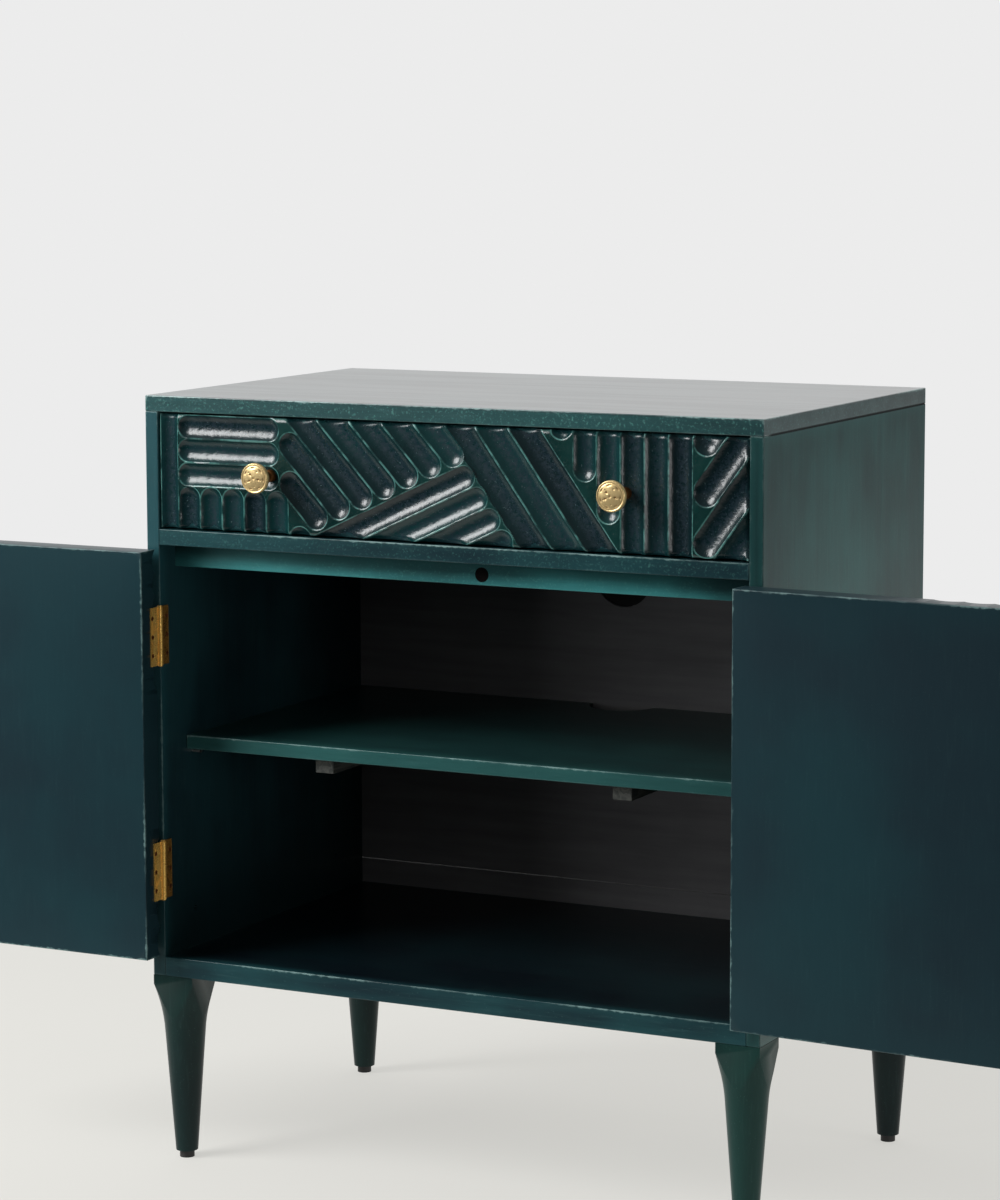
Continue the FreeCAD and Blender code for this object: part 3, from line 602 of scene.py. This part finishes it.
def fluted_face_tree():
    """A face of a panel, sunk to a round hollow along each of the flutes' centre lines."""
    tree = Shape("fluted_face", width=float, height=float, columns=int, rows=int, depth=float,
                 soften=float, wander=float, rim=float, lines="object")
    grid = tree.node("GeometryNodeMeshGrid", {},
                     {"Size X": tree.size("width"), "Size Y": tree.size("height"),
                      "Vertices X": tree.size("columns"), "Vertices Y": tree.size("rows")}, "Mesh")
    lines = tree.node("GeometryNodeObjectInfo", {}, {"Object": tree.size("lines")}, "Geometry")
    x, y = tree.split(tree.node("GeometryNodeInputPosition", {}, {}), "XY")
    across = x + tree.size("width") * 0.5
    up = y + tree.size("height") * 0.5
    flat = tree.node("ShaderNodeCombineXYZ", {}, {"X": across, "Z": up})
    stray = tree.node("ShaderNodeTexNoise", {}, {"Vector": flat, "Scale": 28.0, "Detail": 2.0}, "Color")
    centred = tree.node("ShaderNodeVectorMath", {"operation": "SUBTRACT"}, {0: stray, 1: (0.5, 0.5, 0.5)})
    moved = tree.node("ShaderNodeVectorMath", {"operation": "SCALE"},
                      {0: centred, "Scale": tree.size("wander")})
    probe = tree.node("ShaderNodeVectorMath", {"operation": "ADD"}, {0: flat, 1: moved})
    px, pz = tree.split(probe, "XZ")
    probe = tree.node("ShaderNodeCombineXYZ", {}, {"X": px, "Z": pz})
    away = tree.node("GeometryNodeProximity", {"target_element": "EDGES"},
                     {0: lines, "Sample Position": probe}, "Distance")
    nearest = tree.node("GeometryNodeSampleNearest", {"domain": "EDGE"},
                        {"Geometry": lines, "Sample Position": probe})
    held = {}
    for name in ("half", "tone"):
        named = tree.node("GeometryNodeInputNamedAttribute", {"data_type": "FLOAT"}, {"Name": name})
        held[name] = tree.node("GeometryNodeSampleIndex", {"data_type": "FLOAT", "domain": "EDGE"},
                               {"Geometry": lines, "Value": named, "Index": nearest})
    half = held["half"]
    depth = tree.size("depth").least(half)
    radius = (half * half + depth * depth) / (depth * 2.0)
    bowl = (radius * radius - away * away).most(0.0) ** 0.5
    sunk = tree.node("ShaderNodeMath", {"operation": "SMOOTH_MAX"},
                     {0: bowl - (radius - depth), 1: 0.0, 2: tree.size("soften")})
    face = grid
    for name, value in (("hollow", sunk / depth), ("flute_tone", held["tone"]), ("brink", away - half)):
        face = tree.node("GeometryNodeStoreNamedAttribute", {"data_type": "FLOAT", "domain": "POINT"},
                         {"Geometry": face, "Name": name, "Value": value})
    border = across.least(tree.size("width") - across).least(up.least(tree.size("height") - up))
    eased = (tree.size("rim") - border).most(0.0) ** 2.0 / (tree.size("rim") * 2.0)
    place = tree.node("ShaderNodeCombineXYZ", {}, {"X": across, "Y": sunk + eased, "Z": up})
    return tree.close(tree.node("GeometryNodeSetPosition", {}, {"Geometry": face, "Position": place}))


def set_out_tree():
    """One small part set out on points, turned to stand out of the wood where each of them is."""
    tree = Shape("set_out_parts", part="object", seed=int)
    part = tree.node("GeometryNodeObjectInfo", {}, {"Object": tree.size("part"), "As Instance": True},
                     "Geometry")
    outward = tree.node("GeometryNodeInputNamedAttribute", {"data_type": "FLOAT_VECTOR"},
                        {"Name": "outward"})
    upright = tree.node("FunctionNodeAlignRotationToVector", {"axis": "Z"}, {"Vector": outward})
    chance = tree.node("FunctionNodeRandomValue", {"data_type": "FLOAT"},
                       {2: 0.0, 3: math.pi, "Seed": tree.size("seed")}, 1)
    twist = tree.node("FunctionNodeAxisAngleToRotation", {}, {"Axis": (0, 0, 1), "Angle": chance})
    turned = tree.node("FunctionNodeRotateRotation", {"rotation_space": "LOCAL"},
                       {"Rotation": upright, "Rotate By": twist})
    placed = tree.node("GeometryNodeInstanceOnPoints", {},
                       {"Points": tree.size("Geometry"), "Instance": part, "Rotation": turned})
    return tree.close(placed)


fluted_face = fluted_face_tree()
set_out = set_out_tree()


# Carved panels


def flute_lines(name, width, height, patches):
    """Centre lines of the flutes, laid out patch by patch as in the solids."""
    random = np.random.default_rng(7)
    points, edges, halves, tones = [], [], [], []
    for corner_shares, angle in patches:
        corners = [(u * width, v * height) for u, v in corner_shares]
        turn = math.radians(angle)
        along = (math.cos(turn), math.sin(turn))
        across = (-along[1], along[0])
        offsets = [u * across[0] + v * across[1] for u, v in corners]
        span = max(offsets) - min(offsets)
        count = max(1, round(span / flute_pitch))
        half = (span / count - flute_land) / 2
        for number in range(count):
            offset = min(offsets) + (number + 0.5) * span / count
            base = (across[0] * offset, across[1] * offset)
            low, high = -(width + height), width + height
            for here, there in zip(corners, corners[1:] + corners[:1]):
                run = (there[0] - here[0], there[1] - here[1])
                length = math.hypot(*run)
                inward = (-run[1] / length, run[0] / length)
                slope = inward[0] * along[0] + inward[1] * along[1]
                if abs(slope) < flute_parallel_share:
                    continue
                on_edge = here[0] == there[0] in (0, width) or here[1] == there[1] in (0, height)
                inset = -half if on_edge else half
                room = (here[0] - base[0]) * inward[0] + (here[1] - base[1]) * inward[1] + inset
                if slope > 0:
                    low = max(low, room / slope)
                else:
                    high = min(high, room / slope)
            if high > low:
                first = len(points)
                for reach in (low, high):
                    points.append((base[0] + reach * along[0], 0, base[1] + reach * along[1]))
                edges.append((first, first + 1))
                halves.append(half)
                tones.append(random.random())
    mesh = bpy.data.meshes.new(name)
    mesh.from_pydata(points, edges, [])
    for key, values in (("half", halves), ("tone", tones)):
        mesh.attributes.new(key, "FLOAT", "EDGE").data.foreach_set("value", values)
    return add_object(name, mesh)


def border_ring(bm):
    """The points along the open border of a sheet, in order."""
    beside = {}
    for edge in bm.edges:
        if len(edge.link_faces) == 1:
            one, two = edge.verts
            beside.setdefault(one, []).append(two)
            beside.setdefault(two, []).append(one)
    first = next(iter(beside))
    ring = [first, beside[first][0]]
    while True:
        following = [vert for vert in beside[ring[-1]] if vert is not ring[-2]][0]
        if following is first:
            return ring
        ring.append(following)


def carved_board(name, size, patches, step, place, plain):
    """A panel with a fluted face, square sides and an inner face with eased edges."""
    width, height = size
    columns, rows = round(width / step) + 1, round(height / step) + 1
    lines = flute_lines(name + "_lines", width, height, patches)
    obj = add_object(name, bpy.data.meshes.new(name))
    fluted_face.grow(obj, width=width, height=height, columns=columns, rows=rows, depth=flute_depth,
                     soften=flute_soften, wander=flute_wander, rim=carved_rim, lines=lines,
                     finish=finishes["carved"])
    bpy.data.objects.remove(lines)
    bm = bmesh.new()
    bm.from_mesh(obj.data)
    ring = border_ring(bm)
    hollow = bm.verts.layers.float["hollow"]
    levels = [(0.0, front_thickness - edge_ease)]
    for turn in (30, 60, 90):
        share = math.radians(turn)
        levels.append((edge_ease * (1 - math.cos(share)),
                       front_thickness - edge_ease * (1 - math.sin(share))))
    here = ring
    for inset, deep in levels:
        fresh = []
        for vert in ring:
            u = min(max(vert.co.x, inset), width - inset)
            v = min(max(vert.co.z, inset), height - inset)
            made = bm.verts.new((u, deep, v))
            made[hollow] = 0.0
            fresh.append(made)
        for index in range(len(ring)):
            beside = (index + 1) % len(ring)
            bm.faces.new((here[index], here[beside], fresh[beside], fresh[index]))
        here = fresh
    inner = bmesh.ops.triangulate(bm, faces=[bm.faces.new(here)])["faces"]
    bmesh.ops.recalc_face_normals(bm, faces=bm.faces)
    for face in bm.faces:
        face.smooth = True
        face.material_index = 1 if face.calc_center_median().y > flute_depth else 0
    for face in inner:
        face.smooth = False
    mesh = obj.data
    mesh.materials.clear()
    mesh.materials.append(finishes["carved"])
    mesh.materials.append(plain)
    bm.to_mesh(mesh)
    bm.free()
    mesh.set_sharp_from_angle(angle=carved_ridge)
    mark_corners(mesh, (0, 0, 0), (width, front_thickness, height))
    mesh.transform(place)
    if place.determinant() < 0:
        mesh.flip_normals()
    return obj


# Knobs and screws


def ringed(bm, profile, sides):
    """Turns (radius, height) points about +Z into rings of points, joined by faces."""
    rings = []
    for radius, height in profile:
        ring = []
        for number in range(sides if radius else 1):
            turn = 2 * math.pi * number / sides
            ring.append(bm.verts.new((radius * math.cos(turn), radius * math.sin(turn), height)))
        rings.append(ring)
    for low, high in zip(rings, rings[1:]):
        for number in range(sides):
            beside = (number + 1) % sides
            corners = (low[number % len(low)], low[beside % len(low)],
                       high[beside % len(high)], high[number % len(high)])
            bm.faces.new(dict.fromkeys(corners))
    return rings


def knob_relief(radius, turn):
    """Chased face of a knob: a groove inside the rim, arcs, gaps between petals, dots and notches."""
    def mark(middle, width):
        return math.exp(-((radius / MM - middle) / width) ** 2)
    groove = 0.4 * mark(13.4, 0.5)
    arcs = 0.7 * mark(11.2, 0.9) * (0.5 + 0.5 * math.cos(7 * turn + 0.6)) ** 2
    gaps = 0.9 * mark(5.6, 1.5) * max(0.0, math.cos(2.5 * turn + 0.4)) ** 8
    dots = 0.6 * mark(8.4, 0.7) * max(0.0, math.cos(5 * turn + 0.9)) ** 8
    middle = 0.6 * mark(0.0, 1.3)
    notches = 0.25 * mark(15.1, 0.6) * (0.5 + 0.5 * math.cos(30 * turn))
    return groove + arcs + gaps + dots + middle + notches


def knob_mesh(name):
    """A turned knob with a stem, a waist, a rounded rim and a shallow dome that is chased."""
    low = knob_disc_low
    high = knob_disc_low + knob_disc_thickness
    profile = [(radius * MM, height * MM) for radius, height in knob_stem]
    profile += [(radius * MM, low + height * MM) for radius, height in knob_disc_back]
    profile += [(radius * MM, high + height * MM) for radius, height in knob_disc_front]
    for number in range(knob_dome_rings, -1, -1):
        radius = knob_dome_radius * number / knob_dome_rings
        rim = knob_rim_rise * math.exp(-((radius - knob_rim_radius) / knob_rim_width) ** 2)
        profile.append((radius, high + knob_dome_rise * (1 - (radius / knob_radius) ** 2) + rim))
    bm = bmesh.new()
    recess = bm.verts.layers.float.new("recess")
    rings = ringed(bm, profile, knob_sides)
    # The stems get the dark brass all over: painted shade behind the discs.
    for ring in rings[:len(knob_stem) - 1]:
        for vert in ring:
            vert[recess] = 1.0
    for ring in rings[-knob_dome_rings - 1:]:
        for vert in ring:
            deep = knob_relief(math.hypot(vert.co.x, vert.co.y), math.atan2(vert.co.y, vert.co.x))
            vert.co.z -= deep * knob_chasing_depth
            vert[recess] = min(1.0, deep * 1.3)
    bmesh.ops.recalc_face_normals(bm, faces=bm.faces)
    return smooth_mesh(bm, name, carved_ridge)


def add_knob(node, body, place, x, z):
    """Sets a knob on a panel: its axis comes out of the carved face."""
    mesh = knob_mesh(node + "_chased")
    face = Matrix.Translation((x, flute_depth, z)) @ Matrix.Rotation(math.radians(90), 4, "X")
    mesh.transform(place @ face)
    if place.determinant() < 0:
        mesh.flip_normals()
    dress(add_object(node + "_chased", mesh), "knob_brass", body, "brass", node)


def loose_parts(bm):
    """The points of each loose part of a mesh, in an order that is the same each run."""
    seen = set()
    for start in bm.verts:
        if start in seen:
            continue
        seen.add(start)
        part, reached = [], [start]
        while reached:
            vert = reached.pop()
            part.append(vert.co)
            for edge in vert.link_edges:
                other = edge.other_vert(vert)
                if other not in seen:
                    seen.add(other)
                    reached.append(other)
        yield np.array(part)


def fasteners(node):
    """Where each screw of a solid has its head: its middle, the way out of the wood, and its radii."""
    bm = merged(node)
    found = []
    for points in loose_parts(bm):
        middle = points.mean(0)
        long_way = np.linalg.svd(points - middle)[2][0]
        along = (points - middle) @ long_way
        away = np.linalg.norm(points - middle - np.outer(along, long_way), axis=1)
        half_way = (along.min() + along.max()) / 2
        head_side = np.sign(along[away > away.max() * 0.95].mean() - half_way)
        along, half_way = along * head_side, half_way * head_side
        outward = long_way * head_side
        found.append((middle + outward * along.max(), outward, away.max(), away[along < half_way].max()))
    bm.free()
    found.sort(key=lambda one: tuple(np.round(one[0], 5)))
    return found


def screw_mesh(name, head, shank, recess, pan):
    """A screw's head with its driver recess, and the start of its shank below."""
    bm = bmesh.new()
    sunk = bm.verts.layers.float.new("recess")
    rim_level = -head * (pan_rim_share if pan else countersunk_rim_share)
    flat = head * screw_flat_share
    circle = []
    for number in range(screw_sides):
        turn = 2 * math.pi * number / screw_sides
        circle.append(bm.verts.new((flat * math.cos(turn), flat * math.sin(turn), 0)))
    cut = [bm.verts.new((u * head, v * head, 0)) for u, v in recess]
    inner = head * recess_taper_share
    floor = [bm.verts.new((u * inner, v * inner, -head * recess_depth_share)) for u, v in recess]
    loops = []
    for ring in (circle, cut):
        for one, two in zip(ring, ring[1:] + ring[:1]):
            loops.append(bm.edges.new((one, two)))
    bmesh.ops.triangle_fill(bm, edges=loops, use_beauty=True)
    for number in range(len(cut)):
        beside = (number + 1) % len(cut)
        bm.faces.new((cut[number], cut[beside], floor[beside], floor[number]))
    bm.faces.new(floor)
    neck = -head * pan_height_share if pan else shank - head
    side_low = neck if pan else rim_level - head * countersunk_edge_share
    end = neck - head * shank_share
    rings = ringed(bm, [(head, rim_level), (head, side_low), (shank, neck), (shank, end), (0, end)],
                   screw_sides)
    for number in range(screw_sides):
        beside = (number + 1) % screw_sides
        bm.faces.new((circle[number], circle[beside], rings[0][beside], rings[0][number]))
    bmesh.ops.recalc_face_normals(bm, faces=bm.faces)
    mesh = bpy.data.meshes.new(name)
    for vert in floor:
        vert[sunk] = 1.0
    bm.to_mesh(mesh)
    bm.free()
    return mesh


def set_screws(node, finish, body, slot, recess, pan, seed):
    """All the screws of one solid, each where the solid has it."""
    found = fasteners(node)
    head, shank = found[0][2:]
    pattern = add_object(node + "_pattern", screw_mesh(node + "_pattern", head, shank, recess, pan))
    points = bpy.data.meshes.new(node + "_heads")
    points.from_pydata([tuple(one[0]) for one in found], [], [])
    layer = points.attributes.new("outward", "FLOAT_VECTOR", "POINT")
    layer.data.foreach_set("vector", np.array([one[1] for one in found], np.float32).ravel())
    obj = add_object(node + "_heads", points)
    set_out.grow(obj, part=pattern, seed=seed, finish=finishes[finish])
    bpy.data.objects.remove(pattern)
    dress(obj, finish, body, slot, node)


# Boards of the carcass and the drawer box
boards = (
    ("top_panel", "teal_top", "carcass", "teal_lacquer"),
    ("left_side_panel", "teal_left", "carcass", "teal_lacquer"),
    ("right_side_panel", "teal_right", "carcass", "teal_lacquer"),
    ("bottom_panel", "teal_bottom", "carcass", "teal_lacquer"),
    ("drawer_divider", "teal_x", "carcass", "teal_lacquer"),
    ("door_stop_strip", "teal_strip", "carcass", "teal_lacquer"),
    ("shelf", "teal_shelf", "carcass", "teal_lacquer"),
    ("back_panel", "back", "carcass", "dark_board", back_edge_ease),
    ("back_lower_board", "back", "carcass", "dark_board", back_edge_ease),
    ("cable_port_plug", "black_plastic", "carcass", "black_plastic"),
    ("left_shelf_batten", "batten_wood", "carcass", "raw_wood"),
    ("right_shelf_batten", "batten_wood", "carcass", "raw_wood"),
    ("left_drawer_runner", "raw_wood", "carcass", "raw_wood"),
    ("right_drawer_runner", "raw_wood", "carcass", "raw_wood"),
    ("drawer_left_side", "drawer_wood", "drawer", "drawer_wood"),
    ("drawer_right_side", "drawer_wood", "drawer", "drawer_wood"),
    ("drawer_back", "drawer_wood_x", "drawer", "drawer_wood"),
    ("drawer_bottom", "drawer_wood_x", "drawer", "drawer_wood"),
)
for board in boards:
    eased_board(*board)

for corner in ("front_left", "front_right", "back_left", "back_right"):
    smoothed(corner + "_leg", "teal_leg", "carcass", "teal_lacquer")


# Carved drawer front and doors, each placed from its solid and its hinge pin
drawer_place = Matrix.Translation(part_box("drawer_front")[0])
pins = {joint["name"]: Vector(joint["pos_m"]) for joint in frame["joints"] if "pos_m" in joint}


def door_place(joint, turn, hand):
    """From the closed left door's own corner to where an open door hangs; hand -1 mirrors it."""
    pin = pins[joint]
    swing = Matrix.Translation((pin.x, pin.y, 0)) @ Matrix.Rotation(turn, 4, "Z")
    mirror = Matrix.Diagonal((hand, 1, 1, 1))
    return swing @ mirror @ Matrix.Translation((pin_from_edge, pin_lead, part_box("left_door_panel")[0][2]))


left_place = door_place("left_door_hinge", -left_door_open, 1)
right_place = door_place("right_door_hinge", right_door_open, -1)
drawer_carving = (drawer_front_size, drawer_patch_shares, drawer_carving_step)
door_carving = (door_size, door_patch_shares, door_carving_step)
carved = (
    ("drawer_front", "drawer", drawer_carving, drawer_place, "teal_x"),
    ("left_door_panel", "left_door", door_carving, left_place, "teal_door"),
    ("right_door_panel", "right_door", door_carving, right_place, "teal_door"),
)
for node, body, carving, place, plain in carved:
    board = carved_board(node + "_fluted", *carving, place, finishes[plain])
    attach(board, body)
    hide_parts(node)

drawer_width, drawer_height = drawer_front_size
for side, hand in (("left", -1), ("right", 1)):
    add_knob(side + "_drawer_knob", "drawer", drawer_place,
             drawer_width / 2 + hand * drawer_knob_offset, drawer_height / 2)
for side, place in (("left", left_place), ("right", right_place)):
    add_knob(side + "_door_knob", side + "_door", place, door_size[0] - door_knob_inset, door_size[1] / 2)

# Hinges
for side in ("left", "right"):
    for level in ("upper", "lower"):
        hinge = side + "_" + level + "_hinge_"
        smoothed(hinge + "fixed_leaf", "leaf_brass", "carcass", "brass")
        smoothed(hinge + "moving_leaf", "brass", side + "_door", "brass")
smoothed("hinge_pins", "brass", "carcass", "brass")

# Screws, with pan heads where the last value is true
screw_sets = (
    ("carcass_hinge_screws", "dark_brass", "carcass", "brass", slot_recess_shares, False),
    ("left_door_hinge_screws", "dark_brass", "left_door", "brass", slot_recess_shares, False),
    ("right_door_hinge_screws", "dark_brass", "right_door", "brass", slot_recess_shares, False),
    ("back_screws", "steel", "carcass", "steel", cross_recess_shares, False),
    ("batten_screws", "steel", "carcass", "steel", cross_recess_shares, False),
    ("runner_screws", "steel", "carcass", "steel", cross_recess_shares, False),
    ("catch_strike_screw", "steel", "right_door", "steel", cross_recess_shares, False),
    ("drawer_knob_screws", "steel", "drawer", "steel", cross_recess_shares, True),
    ("left_door_knob_screw", "steel", "left_door", "steel", cross_recess_shares, True),
    ("right_door_knob_screw", "steel", "right_door", "steel", cross_recess_shares, True),
)
for seed, screws in enumerate(screw_sets, 1):
    set_screws(*screws, seed)

# Small solids that only need smooth faces, and solids that stay as they are
smoothed("foot_glides", "black_plastic", "carcass", "black_plastic")
smoothed("catch_magnet", "magnet", "carcass", "magnet")
smoothed("shelf_pins", "steel", "carcass", "steel")
smoothed("catch_strike_plate", "steel", "right_door", "steel")
hidden = {"carcass_dowels": "raw_wood", "drawer_dowels": "raw_wood", "leg_hanger_bolts": "steel"}
for node, finish in hidden.items():
    for material_slot in frame["nodes"][node].material_slots:
        material_slot.material = finishes[finish]


# Floor, light and camera

BACKDROP, FLOOR, FLOOR_CLOUD, FLOOR_NEAR = (rgb(236, 236, 236), rgb(204, 203, 198), rgb(198, 197, 192),
                                            rgb(239, 238, 233))
BLACK = rgb(0, 0, 0)
FLOOR_GLOW = 0.63
WORLD_BEHIND, WORLD_FRONT, WORLD_MIRRORED = 1.0, 0.36, 0.12

# Metres over which the floor fades to the backdrop, starts in front and ends on the right as a light
floor_fade, floor_start, floor_right = (1.1, 3.4), (-1.2, -0.5), (4.5, 0.4)
floor_reach = 40.0
floor_middle_y = 0.1

# Directions over which the world goes from its front to its bright rear, and on the right back again
world_rear, world_right = (-0.3, 0.6), (0.9, 0.1)

# The camera, as fitted to the photograph
camera_place = (1.7531, -3.5011, 1.1366)
camera_yaw, camera_pitch, camera_roll = math.radians(27.01), math.radians(7.65), math.radians(-0.15)
camera_lens = 110.85

# Each light: where it stands and points, its width and height, its power, and whether gloss shows it
lights = (
    ("front_fill", (3.0, -1.7, 0.52), (-0.3, -0.1, 0.5), (0.5, 1.0), 8, True),
    ("right_fill", (2.6, 0.1, 1.1), (0.3, 0.1, 0.4), (1.2, 1.2), 12, True),
    ("key_softbox", (-2.0, -1.86, 2.2), (0, 0, 0.45), (1.6, 1.6), 100, True),
    ("left_fill", (-2.2, -2.6, 0.62), (0.15, 0.25, 0.5), (1.4, 0.6), 27, False),
)


def pale_floor():
    """Pale paper that takes the shadow near the cabinet and is as light as the backdrop further away."""
    ground = Finish("pale_floor")
    x, y = ground.split(ground.place, "XY")
    aside = y - floor_middle_y
    far = ((x * x + aside * aside) ** 0.5).step(*floor_fade)
    bare = far * (1 - FLOOR_GLOW) + FLOOR_GLOW
    near = ground.mix(ground.noise(3.0, 3.0, 0.5) * 0.3, FLOOR, FLOOR_CLOUD)
    seen = ground.node("ShaderNodeLightPath", {}, {}, "Is Camera Ray")
    paper = y.step(*floor_start)
    shown = (1 - bare) * seen.most(paper)
    glow = bare * seen.most(paper * x.step(*floor_right) * 0.9)
    tint = ground.mix(far, FLOOR_NEAR, BACKDROP)
    return ground.set(Base_Color=ground.mix(shown, BLACK, near), Roughness=0.8, Specular_IOR_Level=0.0,
                      Emission_Strength=1.0, Emission_Color=ground.mix(glow, BLACK, tint))


def build_stage():
    bm = bmesh.new()
    bmesh.ops.create_grid(bm, x_segments=2, y_segments=2, size=floor_reach)
    mesh = bpy.data.meshes.new("studio_floor")
    bm.to_mesh(mesh)
    bm.free()
    mesh.materials.append(pale_floor())
    add_object("studio_floor", mesh)


def build_world():
    """A pale backdrop; what the cabinet itself meets is light behind it and darker in front."""
    world = bpy.data.worlds.new("studio")
    scene.world = world
    world.use_nodes = True
    sky = Nodes()
    sky.tree = world.node_tree
    x, y = sky.split(sky.node("ShaderNodeTexCoord", {}, {}, "Generated"), "XY")
    seen = sky.node("ShaderNodeLightPath", {}, {}, "Is Camera Ray")
    mirrored = sky.node("ShaderNodeLightPath", {}, {}, "Is Glossy Ray")
    front = WORLD_FRONT - mirrored * (WORLD_FRONT - WORLD_MIRRORED)
    lit = front + y.step(*world_rear) * x.step(*world_right) * (WORLD_BEHIND - front)
    level = seen + (1 - seen) * lit
    out = world.node_tree.nodes["Background"]
    out.inputs["Color"].default_value = BACKDROP
    world.node_tree.links.new(level.socket, out.inputs["Strength"])


def area_light(name, place, target, size, power, mirrored):
    data = bpy.data.lights.new(name, "AREA")
    data.shape = "RECTANGLE"
    data.size, data.size_y = size
    data.energy = power
    obj = add_object(name, data)
    obj.location = place
    obj.rotation_euler = (Vector(target) - Vector(place)).to_track_quat("-Z", "Y").to_euler()
    obj.visible_glossy = mirrored


def build_camera():
    data = bpy.data.cameras.new("camera")
    data.sensor_width = 36.0
    data.lens = camera_lens
    data.clip_end = 100
    obj = add_object("camera", data)
    obj.location = camera_place
    level = Matrix.Rotation(camera_yaw, 3, "Z")
    tilt = Matrix.Rotation(math.radians(90) - camera_pitch, 3, "X")
    obj.rotation_euler = (level @ tilt @ Matrix.Rotation(camera_roll, 3, "Z")).to_euler()
    scene.camera = obj


build_stage()
build_world()
for light in lights:
    area_light(*light)
build_camera()
scene.view_settings.view_transform = "Standard"
